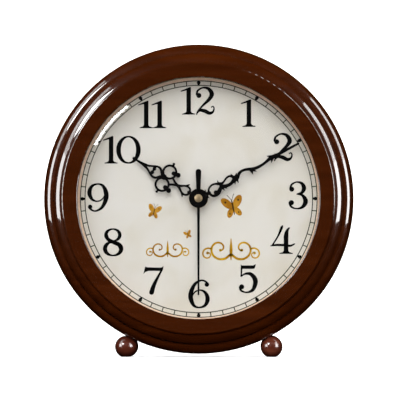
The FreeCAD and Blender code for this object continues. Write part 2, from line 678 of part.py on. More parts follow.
def movement_screws():
    screws = []
    for x, z in SCREW_POSTS:
        shank = disc(SCREW_R, SCREW_TIP_D, SCREW_HEAD_D, x, z)
        screw = shank.fuse(disc(SCREW_HEAD_R, SCREW_HEAD_D, BACK_WALL[1], x, z))
        screws.append(slotted(screw, x, z, SCREW_HEAD_R + OVER, BACK_WALL[1]))
    return Part.Compound(screws)


def threaded_bushing():
    """A brass bushing with a flange behind and thread rings along its front."""
    steps = [(BUSHING_BORE, BUSHING_FRONT_D), (BUSHING_R - THREAD_DEPTH, BUSHING_FRONT_D)]
    for k in range(THREAD_RINGS):
        root_d = BUSHING_FRONT_D + THREAD_PITCH * k
        steps.append((BUSHING_R, root_d + THREAD_PITCH / 2))
        steps.append((BUSHING_R - THREAD_DEPTH, root_d + THREAD_PITCH))
    steps += [(BUSHING_R, M - GASKET_T), (BUSHING_R, FLANGE_SEAT_D), (BUSHING_FLANGE_R, FLANGE_SEAT_D),
              (BUSHING_FLANGE_R, M + FLOOR)]
    return turned((BUSHING_BORE, M + FLOOR), steps)


def hex_nut():
    d0, d1 = DIAL_D - WASHER_T - NUT_T, DIAL_D - WASHER_T
    corner = NUT_FLATS / math.sqrt(3)
    points = [at(x, d0, z) for x, z in around(6, corner)]
    prism = Part.Face(Part.makePolygon(points + points[:1])).extrude(vec(0, d1 - d0, 0))
    cone = Part.makeCone(corner - NUT_CONE[0], corner + NUT_CONE[1], d1 - d0, at(0, d0, 0), vec(0, 1, 0))
    return prism.common(cone).cut(disc(BUSHING_R, 0, CUT_END_D))


def stator_core():
    """One lamination: the bar through the coil and the yoke round the rotor."""
    points = [at(x, STATOR_LAYER[0], z) for x, z in CORE_OUTLINE]
    outline = Part.Face(Part.makePolygon(points + points[:1]))
    plate = outline.extrude(vec(0, STATOR_LAYER[1] - STATOR_LAYER[0], 0))
    plate = plate.cut(block(COIL_X[0] - CORE_END_GAP, COIL_X[1] + CORE_END_GAP,
                            CORE_WINDOW_Z, COIL_Z - CORE_HEIGHT / 2, M, CUT_END_D))
    return plate.cut(disc(MAGNET_R + MAGNET_GAP, M, CUT_END_D, *ROTOR_AT))


def along_x(radius, x0, x1, d, z):
    return Part.makeCylinder(radius, x1 - x0, at(x0, d, z), vec(1, 0, 0))


def coil_bobbin():
    spool = [along_x(COIL_CORE_R, COIL_X[0], COIL_X[1], COIL_D, COIL_Z),
             along_x(FLANGE_R, COIL_X[0], COIL_X[0] + FLANGE_T, COIL_D, COIL_Z),
             along_x(FLANGE_R, COIL_X[1] - FLANGE_T, COIL_X[1], COIL_D, COIL_Z)]
    half = CORE_HEIGHT / 2
    return fuse(spool).cut(block(-HALF, HALF, COIL_Z - half, COIL_Z + half, *STATOR_LAYER))


def coil_winding():
    x0, x1 = COIL_X[0] + FLANGE_T, COIL_X[1] - FLANGE_T
    core = along_x(COIL_CORE_R, *COIL_X, COIL_D, COIL_Z)
    return along_x(COIL_R, x0, x1, COIL_D, COIL_Z).cut(core)


def chip_blob():
    """A drop of black resin over the bonded chip."""
    x, z = CHIP_AT
    front = CIRCUIT_LAYER[0] - CHIP_RISE
    ball = Part.makeSphere(CHIP_DOME_R, at(x, front + CHIP_DOME_R, z))
    return ball.common(block(x - CHIP_DOME_R, x + CHIP_DOME_R, z - CHIP_DOME_R, z + CHIP_DOME_R,
                             front - OVER, CIRCUIT_LAYER[0]))


def battery_cell():
    can = along_x(CELL_R, CELL_X[0], CELL_X[1], CELL_D, CELL_Z)
    can = can.makeFillet(CELL_EDGE, [e for e in can.Edges if e.Curve.TypeId == "Part::GeomCircle"])
    return can.fuse(along_x(NUB_R, CELL_X[1], NUB_END, CELL_D, CELL_Z)).removeSplitter()


def contact_plus():
    """End plate of the bay with a strip to the circuit board."""
    outer = NUB_END + STRIP_T
    plate = block(NUB_END, outer, *CONTACT_Z, CONTACT_D, CIRCUIT_LAYER[0])
    strip = block(BOARD_EDGE[1] - STRIP_LAP, outer, CONTACT_Z[1] - STRIP_T, CONTACT_Z[1],
                  STRIP_D, CIRCUIT_LAYER[0])
    clip = block(outer, HALF - WALL, *CLIP_Z, CONTACT_D, CONTACT_D + LEAF_DEPTH)
    return fuse([plate, strip, clip])


def contact_minus():
    """A bowed leaf pressing on the flat end of the cell, with its strip to the circuit board."""
    edge = -(HALF - WALL)
    root = edge + STRIP_T
    low, high = CELL_Z - LEAF_HALF, CELL_Z + LEAF_HALF
    outer = Part.Arc(at(root, CONTACT_D, low), at(CELL_X[0], CONTACT_D, CELL_Z), at(root, CONTACT_D, high))
    inner = Part.Arc(at(root, CONTACT_D, high - LEAF_LAP),
                     at(CELL_X[0] - STRIP_T, CONTACT_D, CELL_Z), at(root, CONTACT_D, low + LEAF_LAP))
    ends = [Part.makeLine(outer.EndPoint, inner.StartPoint), Part.makeLine(inner.EndPoint, outer.StartPoint)]
    face = Part.Face(Part.Wire([outer.toShape(), ends[0], inner.toShape(), ends[1]]))
    leaf = face.extrude(vec(0, LEAF_DEPTH, 0))
    plate = block(edge, root, *CONTACT_Z, CONTACT_D, CIRCUIT_LAYER[0])
    strip = block(edge, BOARD_EDGE[0] + STRIP_LAP, CONTACT_Z[1] - STRIP_T, CONTACT_Z[1],
                  STRIP_D, CIRCUIT_LAYER[0])
    return fuse([leaf, plate, strip])


# ---------------------------------------------------------------- hands

class Hand:
    """Collects flat pieces of a hand; u runs from the hub to the tip, v to its clockwise side."""

    def __init__(self, degrees, layer):
        self.angle = math.radians(degrees)
        self.layer = layer
        self.pieces = []

    def point(self, u, v):
        sine, cosine = math.sin(self.angle), math.cos(self.angle)
        return at(u * sine + v * cosine, self.layer[0], u * cosine - v * sine)

    def add(self, wire):
        self.pieces.append(Part.Face(wire).extrude(vec(0, self.layer[1] - self.layer[0], 0)))

    def dot(self, u, v, radius):
        centre = self.point(u, v)
        self.pieces.append(Part.makeCylinder(radius, self.layer[1] - self.layer[0], centre, vec(0, 1, 0)))

    def hoop(self, u, v, radius, width):
        centre = self.point(u, v)
        height = self.layer[1] - self.layer[0]
        outer = Part.makeCylinder(radius, height, centre, vec(0, 1, 0))
        self.pieces.append(outer.cut(Part.makeCylinder(radius - width, height, centre, vec(0, 1, 0))))

    def plate(self, corners):
        points = [self.point(u, v) for u, v in corners]
        self.add(Part.makePolygon(points + points[:1]))

    def ribbon(self, nodes):
        """A curved band through (u, v, width) nodes with round ends."""
        line = Part.BSplineCurve()
        line.interpolate([self.point(u, v) for u, v, width in nodes])
        left, right = [], []
        for u, v, width in nodes:
            centre = self.point(u, v)
            across = line.tangent(line.parameter(centre))[0].cross(vec(0, 1, 0))
            left.append(centre + across * (width / 2))
            right.append(centre - across * (width / 2))
        sides = []
        for row in (left, right[::-1]):
            curve = Part.BSplineCurve()
            curve.interpolate(row)
            sides.append(curve.toShape())
        caps = [Part.makeLine(left[-1], right[-1]), Part.makeLine(right[0], left[0])]
        self.add(Part.Wire([sides[0], caps[0], sides[1], caps[1]]))
        for u, v, width in (nodes[0], nodes[-1]):
            self.dot(u, v, width / 2)

    def twin_ribbons(self, nodes):
        """A ribbon and its mirror image across the hand's own line."""
        for side in (1, -1):
            self.ribbon([(u, side * v, width) for u, v, width in nodes])

    def thorn(self, root, tip, width):
        """A pointed leaf from a (u, v) root to a (u, v) tip."""
        du, dv = tip[0] - root[0], tip[1] - root[1]
        length = math.hypot(du, dv)
        side = (-dv / length * width / 2, du / length * width / 2)
        self.plate([(root[0] + side[0], root[1] + side[1]), tip, (root[0] - side[0], root[1] - side[1])])

    def solid(self, hole):
        return fuse(self.pieces).cut(disc(hole, 0, CUT_END_D))


def hour_hand():
    """A fretted hand: a tulip at the root, two rings with clappers, and a spade-shaped frame at the tip."""
    hand = Hand(HOUR_ANGLE, HOUR_PLATE)
    hand.dot(0, 0, HAND_BOSS_R)
    hand.ribbon([(4.0, 0, 2.8), (8.2, 0, 2.2)])
    hand.twin_ribbons([(8.0, 0.0, 1.6), (8.9, 2.6, 1.5), (11.4, 3.0, 1.5),
                       (15.0, 1.2, 1.7), (18.8, 0.0, 1.9)])
    hand.twin_ribbons([(12.2, 2.9, 1.5), (10.7, 4.8, 0.9)])
    hand.twin_ribbons([(17.8, 0.0, 2.0), (20.8, 1.3, 1.6), (23.2, 2.8, 1.7)])
    for side in (-1, 1):
        hand.hoop(27.3, 5.15 * side, 5.4, 1.55)
        hand.dot(24.4, 5.75 * side, 1.5)
        hand.dot(21.0, 6.4 * side, 1.75)
        hand.dot(27.8, 11.5 * side, 0.9)
    hand.twin_ribbons([(24.4, 5.75, 2.3), (21.0, 6.4, 2.5)])
    hand.twin_ribbons([(27.4, 10.0, 1.5), (27.8, 11.5, 1.3)])
    hand.dot(28.9, 0.0, 2.0)
    hand.twin_ribbons([(29.8, 0.2, 2.0), (32.2, 2.1, 1.8), (34.6, 3.9, 1.7), (36.8, 3.8, 1.5),
                       (40.2, 2.2, 1.4), (44.6, 0.7, 1.6)])
    hand.twin_ribbons([(37.8, 3.2, 1.4), (37.8, 0.0, 1.5)])
    for side in (-1, 1):
        hand.dot(37.8, 1.5 * side, 1.35)
    hand.plate([(43.0, 1.7), (47.5, 1.0), (51.5, 0.7), (51.5, -0.7), (47.5, -1.0), (43.0, -1.7)])
    hand.ribbon([(51.2, 0, 1.4), (54.2, 0, 2.0)])
    return hand.solid(HOUR_COLLET[0])


def minute_hand():
    """A scrolled vine: two open loops, a knot of thorns between them, and a straight tip."""
    hand = Hand(MINUTE_ANGLE, MINUTE_PLATE)
    hand.dot(0, 0, HAND_BOSS_R)
    hand.ribbon([(4.0, 0, 3.0), (8.6, 0.2, 2.4)])
    hand.ribbon([(18.6, -1.0, 2.0), (16.2, -2.9, 1.6), (12.6, -3.7, 1.4), (9.3, -1.9, 1.4), (8.7, 1.2, 1.6)])
    hand.ribbon([(8.7, 1.0, 1.7), (10.6, 3.7, 2.0), (13.6, 3.5, 3.0), (16.6, 1.6, 2.6), (18.8, -0.4, 2.2)])
    hand.dot(12.8, 2.2, 1.5)
    hand.ribbon([(18.2, -2.0, 2.0), (20.6, -1.5, 1.6), (23.4, -2.8, 1.4),
                 (26.0, -3.4, 1.5), (28.6, -1.6, 1.9)])
    hand.ribbon([(18.2, -0.4, 2.2), (21.4, 1.6, 2.4), (25.0, 1.9, 2.3), (28.6, 0.2, 2.5), (30.2, -0.9, 2.2)])
    hand.ribbon([(29.0, 0.0, 3.2), (31.2, 0.3, 2.8), (33.4, -1.4, 2.2), (36.4, -2.3, 1.9), (40.2, -1.4, 2.1),
                 (44.0, 0.2, 2.3), (49.0, 0.9, 2.0), (54.0, 0.4, 1.9), (59.4, -0.6, 2.6), (62.5, -0.4, 2.1)])
    for root, tip in MINUTE_THORNS:
        hand.thorn(root, tip, MINUTE_THORN_W)
    hand.plate([(60.5, 0.9), (80.7, 0.65), (80.7, -0.85), (60.5, -1.5)])
    hand.dot(80.7, -0.1, 0.75)
    return hand.solid(MINUTE_COLLET[0])


def second_hand():
    """A plain sweep hand with a round-ended tail, riveted to the black hub disc."""
    hand = Hand(SECOND_ANGLE, SECOND_PLATE)
    hand.plate([(0, 1.0), (SECOND_TIP_U, 0.6), (SECOND_TIP_U, -0.6), (0, -1.0)])
    hand.dot(SECOND_TIP_U, 0, 0.6)
    hand.plate([(0, 1.2), (SECOND_TAIL_U, SECOND_TAIL_R), (SECOND_TAIL_U, -SECOND_TAIL_R), (0, -1.2)])
    hand.dot(SECOND_TAIL_U, 0, SECOND_TAIL_R)
    rivet = disc(HUB_RIVET_R, HUB_DISC[1], HUB_DISC[1] + HUB_RIVET_T)
    return fuse(hand.pieces + [disc(HUB_DISC_R, *HUB_DISC), rivet]).cut(disc(SECOND_ARBOR_R, 0, CUT_END_D))


def second_cap():
    """The domed brass cap over the end of the second arbor, with a centre dimple."""
    middle = CAP_FRONT_D + dome_depth(CAP_R, CAP_RISE, CAP_R / 2)
    cap = turned((0.0, CAP_FRONT_D), [(CAP_R / 2, middle, CAP_R, CAP_FRONT_D + CAP_RISE),
                                      (CAP_R, HUB_DISC[0]), (0.0, HUB_DISC[0])])
    cap = cap.cut(disc(CAP_DIMPLE_R, CAP_FRONT_D - OVER, CAP_FRONT_D + CAP_DIMPLE_T))
    return cap.cut(disc(SECOND_ARBOR_R, HUB_DISC[0] - SECOND_ARBOR_REACH, CUT_END_D))


def collet(neck_r, flange_r, bore, plate):
    """A brass collet riveted in the hand plate, with its flange behind the plate."""
    neck = disc(neck_r, plate[0] - PIPE_REACH, plate[1])
    return fuse([neck, disc(flange_r, plate[1], plate[1] + COLLET_FLANGE_T)]).cut(disc(bore, 0, CUT_END_D))


# ---------------------------------------------------------------- export

NODES = {
    "front_bezel": front_bezel,
    "case_drum": case_drum,
    "case_dowels": lambda: Part.Compound(case_dowels(CASE_DOWEL_R)),
    "foot_front_left": lambda: foot(-1, FOOT_FRONT_D),
    "foot_front_right": lambda: foot(1, FOOT_FRONT_D),
    "foot_rear_left": lambda: foot(-1, FOOT_REAR_D),
    "foot_rear_right": lambda: foot(1, FOOT_REAR_D),
    "foot_dowels": foot_dowels,
    "back_panel": back_panel,
    "back_screws": back_screws,
    "glass_lens": glass_lens,
    "spacer_ring": lambda: tube(GLASS_R, SPACER_IN_R, LIP_D + GLASS_T, DIAL_D),
    "dial_disc": lambda: tube(DIAL_R, BUSHING_R, DIAL_D, DIAL_D + DIAL_T),
    "dial_board": dial_board,
    "board_screws": board_screws,
    "rubber_gasket": rubber_gasket,
    "dial_washer": lambda: tube(WASHER_R, BUSHING_R, DIAL_D - WASHER_T, DIAL_D),
    "hex_nut": hex_nut,
    "threaded_bushing": threaded_bushing,
    "movement_front_shell": movement_front_shell,
    "movement_middle_plate": movement_middle_plate,
    "movement_rear_shell": movement_rear_shell,
    "movement_screws": movement_screws,
    "hour_wheel": hour_wheel,
    "hour_collet": lambda: collet(*HOUR_COLLET, HOUR_PIPE_R, HOUR_PLATE),
    "hour_hand": hour_hand,
    "minute_arbor": minute_arbor,
    "minute_wheel": minute_wheel,
    "minute_collet": lambda: collet(*MINUTE_COLLET, MINUTE_PIPE_R, MINUTE_PLATE),
    "minute_hand": minute_hand,
    "second_arbor": second_arbor,
    "second_wheel": second_wheel,
    "second_hand": second_hand,
    "second_cap": second_cap,
    "third_wheel": third_wheel,
    "third_arbor": third_arbor,
    "intermediate_wheel": intermediate_wheel,
    "rotor_pinion": rotor_pinion,
    "rotor_magnet": lambda: tube(MAGNET_R, MAGNET_BORE, *MAGNET_LAYER, *ROTOR_AT),
    "reverse_wheel": reverse_wheel,
    "setting_arbor": setting_arbor,
    "set_knob": set_knob,
    "stator_core": stator_core,
    "coil_bobbin": coil_bobbin,
    "coil_winding": coil_winding,
    "circuit_board": lambda: block(*BOARD_EDGE, *CIRCUIT_LAYER),
    "chip_blob": chip_blob,
    "quartz_crystal": lambda: along_x(CRYSTAL_R, *CRYSTAL_X, CIRCUIT_LAYER[0] - CRYSTAL_R, CRYSTAL_Z),
    "contact_plus": contact_plus,
    "contact_minus": contact_minus,
    "battery_cell": battery_cell,
}

os.makedirs("parts", exist_ok=True)
for name, make in NODES.items():
    make().exportStep(os.path.join("parts", name + ".step"))
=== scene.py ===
import json
import math

import bmesh
import bpy
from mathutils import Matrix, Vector


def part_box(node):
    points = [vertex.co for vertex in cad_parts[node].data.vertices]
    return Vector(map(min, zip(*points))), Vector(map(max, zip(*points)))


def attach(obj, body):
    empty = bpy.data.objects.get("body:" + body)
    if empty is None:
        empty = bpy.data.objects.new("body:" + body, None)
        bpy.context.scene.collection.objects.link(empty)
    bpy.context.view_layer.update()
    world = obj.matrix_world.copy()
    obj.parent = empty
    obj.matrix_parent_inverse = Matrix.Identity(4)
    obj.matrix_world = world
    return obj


# A round mantel clock: lacquered wood case, bevelled glass, printed cream dial, black hands.
# Lengths are metres; the flat drawings on the dial are given in millimetres from the hand axis.

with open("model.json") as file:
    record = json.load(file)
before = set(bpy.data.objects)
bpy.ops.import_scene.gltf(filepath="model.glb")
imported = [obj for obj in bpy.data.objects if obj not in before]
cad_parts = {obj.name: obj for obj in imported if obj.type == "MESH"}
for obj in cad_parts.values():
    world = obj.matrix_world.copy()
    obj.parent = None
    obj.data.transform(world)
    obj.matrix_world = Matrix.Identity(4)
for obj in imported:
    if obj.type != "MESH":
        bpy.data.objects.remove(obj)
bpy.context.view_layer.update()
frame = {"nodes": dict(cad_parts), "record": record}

MM = 0.001
dial_low, dial_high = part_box("dial_disc")
AXIS_X = (dial_low[0] + dial_high[0]) / 2
AXIS_Z = (dial_low[2] + dial_high[2]) / 2
DIAL_Y = dial_low[1]
bezel_low, bezel_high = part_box("front_bezel")
FRONT_Y = bezel_low[1]
CASE_R = (bezel_high[0] - bezel_low[0]) / 2

# The print stands this far out of the dial and is sunk this far into it, in millimetres.
PRINT_T = 0.03
PRINT_SUNK = 0.01


# ---------------------------------------------------------------- materials

def srgb(red, green, blue):
    """Scene-linear colour of an 8-bit display colour."""
    linear = []
    for level in (red, green, blue):
        share = level / 255
        linear.append(share / 12.92 if share <= 0.04045 else ((share + 0.055) / 1.055) ** 2.4)
    return (*linear, 1.0)


class Paint:
    """A Principled material with short calls for textures and bump."""

    def __init__(self, name, **sockets):
        self.material = bpy.data.materials.new(name)
        self.material.use_nodes = True
        self.nodes = self.material.node_tree.nodes
        self.shader = self.nodes["Principled BSDF"]
        for key, value in sockets.items():
            self.shader.inputs[key.replace("_", " ")].default_value = value
        self.where = self.nodes.new("ShaderNodeTexCoord").outputs["Object"]

    def link(self, a, b):
        self.material.node_tree.links.new(a, b)

    def stretched(self, scale):
        mapping = self.nodes.new("ShaderNodeMapping")
        mapping.inputs["Scale"].default_value = scale
        self.link(self.where, mapping.inputs["Vector"])
        return mapping.outputs["Vector"]

    def noise(self, scale, detail=4.0, stretch=(1, 1, 1), distortion=0.0):
        noise = self.nodes.new("ShaderNodeTexNoise")
        noise.inputs["Scale"].default_value = scale
        noise.inputs["Detail"].default_value = detail
        noise.inputs["Distortion"].default_value = distortion
        self.link(self.stretched(stretch), noise.inputs["Vector"])
        return noise.outputs["Fac"]

    def wave(self, scale, distortion, stretch):
        """Parallel bands that follow each other along x."""
        wave = self.nodes.new("ShaderNodeTexWave")
        wave.bands_direction = "X"
        wave.inputs["Scale"].default_value = scale
        wave.inputs["Distortion"].default_value = distortion
        wave.inputs["Detail"].default_value = 3.0
        self.link(self.stretched(stretch), wave.inputs["Vector"])
        return wave.outputs["Fac"]

    def ramp(self, factor, stops):
        ramp = self.nodes.new("ShaderNodeValToRGB")
        elements = ramp.color_ramp.elements
        while len(elements) < len(stops):
            elements.new(0.5)
        for element, (place, colour) in zip(elements, stops):
            element.position = place
            element.color = colour
        self.link(factor, ramp.inputs["Fac"])
        return ramp.outputs["Color"]

    def mix(self, factor, a, b):
        """Colour a to b by the factor; each may be a value or a socket."""
        mix = self.nodes.new("ShaderNodeMix")
        mix.data_type = "RGBA"
        for value, socket in ((factor, mix.inputs["Factor"]), (a, mix.inputs[6]), (b, mix.inputs[7])):
            if hasattr(value, "is_linked"):
                self.link(value, socket)
            else:
                socket.default_value = value
        return mix.outputs[2]

    def span(self, factor, low, high):
        """Maps a 0 to 1 texture value to a range."""
        ramp = self.nodes.new("ShaderNodeMapRange")
        ramp.inputs["To Min"].default_value = low
        ramp.inputs["To Max"].default_value = high
        self.link(factor, ramp.inputs["Value"])
        return ramp.outputs["Result"]

    def colour(self, socket):
        self.link(socket, self.shader.inputs["Base Color"])
        return self

    def rough(self, socket):
        self.link(socket, self.shader.inputs["Roughness"])
        return self

    def bump(self, height, distance, strength=1.0):
        bump = self.nodes.new("ShaderNodeBump")
        bump.inputs["Distance"].default_value = distance
        bump.inputs["Strength"].default_value = strength
        self.link(height, bump.inputs["Height"])
        self.link(bump.outputs["Normal"], self.shader.inputs["Normal"])
        return self


def lacquered_wood(name, dark, mid, light, coat=0.05):
    """Stained, close-grained wood under clear gloss lacquer; the grain runs across the case."""
    paint = Paint(name, Coat_Weight=1.0, Coat_Roughness=coat, Coat_IOR=1.8, Specular_IOR_Level=0.06)
    grain = paint.noise(190, 6, (0.07, 1, 1), 0.25)
    cloud = paint.noise(11, 3)
    base = paint.ramp(grain, [(0.3, dark), (0.5, mid), (0.75, light)])
    paint.colour(paint.mix(paint.span(cloud, 0.1, 0.7), base, mid))
    paint.rough(paint.span(grain, 0.26, 0.36))
    return paint.bump(paint.noise(900, 3, (0.15, 1, 1)), 0.00001, 0.15).material


def raw_wood(name, dark, light):
    paint = Paint(name)
    grain = paint.noise(220, 6, (0.15, 1, 1), 0.5)
    paint.colour(paint.ramp(grain, [(0.35, dark), (0.65, light)]))
    paint.rough(paint.span(grain, 0.55, 0.75))
    return paint.bump(grain, 0.0001, 0.4).material


def fibreboard(name, dark, light, rough):
    """Pressed board: fine random specks and a slightly fibrous surface."""
    paint = Paint(name)
    speck = paint.noise(1400, 5)
    cloud = paint.noise(30, 3)
    base = paint.ramp(speck, [(0.35, dark), (0.7, light)])
    paint.colour(paint.mix(paint.span(cloud, 0.0, 0.4), base, dark))
    paint.rough(paint.span(speck, rough, rough + 0.15))
    return paint.bump(speck, 0.00006, 0.5).material


def moulded_plastic(name, colour, rough):
    """Injection-moulded plastic with a spark-eroded texture."""
    paint = Paint(name, Specular_IOR_Level=0.4)
    fine = paint.noise(2600, 3)
    darker = tuple(c * 0.75 for c in colour[:3]) + (1.0,)
    paint.colour(paint.mix(paint.noise(60, 4), colour, darker))
    paint.rough(paint.span(fine, rough - 0.06, rough + 0.08))
    return paint.bump(fine, 0.00002, 0.5).material


def turned_metal(name, colour, rough):
    """Machined metal with fine directional marks."""
    paint = Paint(name, Metallic=1.0)
    mark = paint.noise(3000, 3, (1, 0.05, 1))
    darker = tuple(c * 0.8 for c in colour[:3]) + (1.0,)
    paint.colour(paint.mix(mark, colour, darker))
    paint.rough(paint.span(mark, rough - 0.05, rough + 0.1))
    return paint.bump(mark, 0.00001, 0.4).material


def hand_paint():
    """Stamped sheet steel in matt black enamel."""
    paint = Paint("hand_black", Specular_IOR_Level=0.0)
    fine = paint.noise(1800, 4)
    paint.colour(paint.ramp(fine, [(0.3, srgb(5, 5, 5)), (0.75, srgb(16, 15, 15))]))
    paint.rough(paint.span(fine, 0.6, 0.72))
    return paint.bump(fine, 0.00001, 0.3).material


def dial_paint():
    """Warm cream dial with faint clouded tone and random patches of a deeper cream."""
    paint = Paint("dial_cream", Specular_IOR_Level=0.02)
    cloud = paint.noise(28, 5, (1, 1, 1), 0.8)
    wash = paint.noise(9, 3)
    base = paint.ramp(cloud, [(0.3, srgb(230, 225, 212)), (0.55, srgb(239, 236, 229)),
                              (0.8, srgb(243, 241, 238))])
    paint.colour(paint.mix(paint.span(wash, 0.0, 0.35), base, srgb(228, 222, 206)))
    paint.rough(paint.span(cloud, 0.5, 0.6))
    return paint.bump(paint.noise(2000, 2), 0.000005, 0.3).material


def ink(name, dark, light):
    """Matt printing ink with a faint fleck."""
    paint = Paint(name, Specular_IOR_Level=0.0)
    fleck = paint.noise(500, 4)
    paint.colour(paint.ramp(fleck, [(0.3, dark), (0.7, light)]))
    paint.rough(paint.span(fleck, 0.5, 0.6))
    return paint.material


def gold_ink(name, dark, light):
    """Printed gold that shades from ochre to brown along its strokes."""
    paint = Paint(name, Specular_IOR_Level=0.04)
    shade = paint.noise(130, 3)
    paint.colour(paint.ramp(shade, [(0.38, dark), (0.62, light)]))
    paint.rough(paint.span(shade, 0.4, 0.55))
    return paint.material


def clear_glass():
    """Clear thin glass: it mirrors lamps, bends light very little and lets lamp light reach the dial."""
    paint = Paint("lens_glass", Base_Color=(1, 1, 1, 1), Transmission_Weight=1.0, IOR=1.01,
                  Coat_Weight=1.0, Coat_IOR=1.5)
    smear = paint.span(paint.noise(40, 2), 0.0, 0.012)
    paint.rough(smear)
    paint.link(smear, paint.shader.inputs["Coat Roughness"])
    path = paint.nodes.new("ShaderNodeLightPath")
    clear = paint.nodes.new("ShaderNodeBsdfTransparent")
    mixer = paint.nodes.new("ShaderNodeMixShader")
    output = paint.nodes["Material Output"]
    paint.link(path.outputs["Is Shadow Ray"], mixer.inputs["Fac"])
    paint.link(paint.shader.outputs["BSDF"], mixer.inputs[1])
    paint.link(clear.outputs["BSDF"], mixer.inputs[2])
    paint.link(mixer.outputs["Shader"], output.inputs["Surface"])
    return paint.material


def coil_wire():
    """Enamelled copper wire wound side by side along the bobbin."""
    paint = Paint("copper_winding", Metallic=0.85, Coat_Weight=0.4, Coat_Roughness=0.15)
    turn = paint.wave(900, 0.3, (1, 0, 0))
    paint.colour(paint.ramp(turn, [(0.2, srgb(92, 34, 12)), (0.8, srgb(196, 98, 48))]))
    paint.rough(paint.span(turn, 0.3, 0.45))
    return paint.bump(turn, 0.00005, 0.7).material


def cell_wrap():
    """Dark cell wrap with a plain copper-coloured band at the positive end and bright steel ends."""
    low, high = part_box("battery_cell")
    paint = Paint("cell_wrap", Coat_Weight=0.3, Coat_Roughness=0.12)
    along = paint.nodes.new("ShaderNodeSeparateXYZ")
    paint.link(paint.where, along.inputs["Vector"])
    place = paint.nodes.new("ShaderNodeMapRange")
    place.inputs["From Min"].default_value = low[0]
    place.inputs["From Max"].default_value = high[0]
    paint.link(along.outputs["X"], place.inputs["Value"])
    steel, wrap, band = srgb(190, 190, 192), srgb(22, 22, 26), srgb(176, 104, 48)
    bands = paint.ramp(place.outputs["Result"], [(0.0, steel), (0.012, wrap), (0.7, band), (0.955, steel)])
    bands.node.color_ramp.interpolation = "CONSTANT"
    paint.colour(paint.mix(paint.span(paint.noise(300, 3), 0.0, 0.12), bands, wrap))
    paint.rough(paint.span(paint.noise(900, 3), 0.22, 0.34))
    return paint.material


def circuit_resist():
    paint = Paint("circuit_green", Coat_Weight=0.2)
    track = paint.wave(420, 0.0, (1, 0, 0.35))
    paint.colour(paint.ramp(track, [(0.45, srgb(16, 70, 34)), (0.55, srgb(30, 98, 52))]))
    paint.rough(paint.span(track, 0.3, 0.42))
    return paint.bump(track, 0.00002, 0.5).material


def rubber_black():
    paint = Paint("rubber_black", Specular_IOR_Level=0.3)
    fine = paint.noise(1500, 4)
    paint.colour(paint.ramp(fine, [(0.3, srgb(18, 18, 18)), (0.7, srgb(38, 37, 36))]))
    paint.rough(paint.span(fine, 0.7, 0.85))
    return paint.bump(fine, 0.00003, 0.5).material


MATERIALS = {
    "wood": lacquered_wood("case_wood", srgb(50, 17, 1), srgb(62, 23, 2), srgb(78, 32, 4)),
    "foot_wood": lacquered_wood("foot_wood", srgb(58, 22, 12), srgb(92, 40, 26), srgb(136, 72, 50), 0.17),
    "plain_wood": raw_wood("raw_beech", srgb(150, 110, 70), srgb(205, 168, 122)),
    "dark_board": fibreboard("stained_board", srgb(30, 20, 14), srgb(58, 42, 30), 0.6),
    "board": fibreboard("raw_board", srgb(118, 90, 62), srgb(166, 134, 98), 0.7),
    "screw_steel": turned_metal("zinc_screw", srgb(188, 190, 194), 0.3),
    "glass": clear_glass(),
    # The spacer's peach cream is partly its own colour and partly painted reflection of the wood in the
    # glass at the dial's edge.
    "spacer_cream": moulded_plastic("spacer_cream", srgb(226, 206, 180), 0.5),
    "dial_paint": dial_paint(),
    "rubber": rubber_black(),
    "brass": turned_metal("brass", srgb(206, 170, 100), 0.28),
    "cap_brass": turned_metal("cap_brass", srgb(214, 190, 150), 0.32),
    "hand_black": hand_paint(),
    "case_plastic": moulded_plastic("movement_black", srgb(26, 26, 28), 0.5),
    "knob_plastic": moulded_plastic("knob_black", srgb(30, 30, 32), 0.42),
    "plate_plastic": moulded_plastic("plate_natural", srgb(222, 220, 208), 0.5),
    "gear_white": moulded_plastic("gear_white", srgb(230, 230, 226), 0.42),
    "gear_grey": moulded_plastic("gear_grey", srgb(150, 156, 162), 0.42),
    "bobbin": moulded_plastic("bobbin_natural", srgb(212, 206, 184), 0.5),
    "resin": moulded_plastic("chip_resin", srgb(18, 18, 20), 0.3),
    "steel": turned_metal("turned_steel", srgb(196, 198, 202), 0.22),
    "magnet": turned_metal("magnet_ground", srgb(96, 96, 102), 0.4),
    "lamination": turned_metal("soft_iron", srgb(150, 150, 152), 0.4),
    "contact": turned_metal("nickel_contact", srgb(206, 202, 190), 0.2),
    "winding": coil_wire(),
    "circuit": circuit_resist(),
    "cell": cell_wrap(),
}


def dress_nodes():
    """Gives every CAD node the material of its record slot."""
    for part in frame["record"]["subparts"]:
        node = frame["nodes"][part["node"]]
        for place in node.material_slots:
            place.material = MATERIALS[part["material_slot"]]


# ---------------------------------------------------------------- flat drawing

def smooth_line(nodes, per=7):
    """Catmull-Rom samples through (x, z, width) nodes."""
    rows = [nodes[0]] + list(nodes) + [nodes[-1]]
    samples = []
    for k in range(1, len(rows) - 2):
        a, b, c, d = (Vector(rows[k + j]) for j in (-1, 0, 1, 2))
        for step in range(per):
            t = step / per
            samples.append(0.5 * ((2 * b) + (c - a) * t + (2 * a - 5 * b + 4 * c - d) * t ** 2
                                  + (3 * b - a - 3 * c + d) * t ** 3))
    samples.append(Vector(rows[-2]))
    return samples


